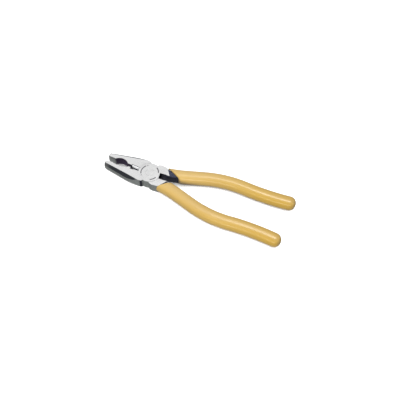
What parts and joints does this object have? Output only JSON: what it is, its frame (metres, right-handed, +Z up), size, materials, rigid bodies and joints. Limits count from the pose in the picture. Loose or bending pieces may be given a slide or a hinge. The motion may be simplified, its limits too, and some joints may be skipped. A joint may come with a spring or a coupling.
{
  "type": "lineman pliers",
  "caption": "Lineman pliers with a lap joint, serrated nose, toothed pipe grip, side cutters and dipped vinyl handle grips.",
  "frame": {"origin": "on the pivot axis, level with the flat underside of the head", "axes": "+X along the pliers toward the handle ends, +Z up along the pivot axis"},
  "size_m": [0.2044, 0.0606, 0.0128],
  "materials": {
    "forged_steel": "ground faces, dark oxide sides",
    "rivet_steel": "ground flush",
    "vinyl": "semi-gloss dipped"
  },
  "bodies": {
    "fixed_half": {"upper_jaw_half": "forged_steel", "pivot_rivet": "rivet_steel", "lower_handle_grip": "vinyl"},
    "turning_half": {"lower_jaw_half": "forged_steel", "upper_handle_grip": "vinyl"}
  },
  "joints": [
    {"name": "pivot", "type": "hinge", "parent": "fixed_half", "child": "turning_half", "pos_m": [0, 0, 0.0057], "axis": [0, 0, 1], "range_deg": [-7.3, 32]}
  ]
}
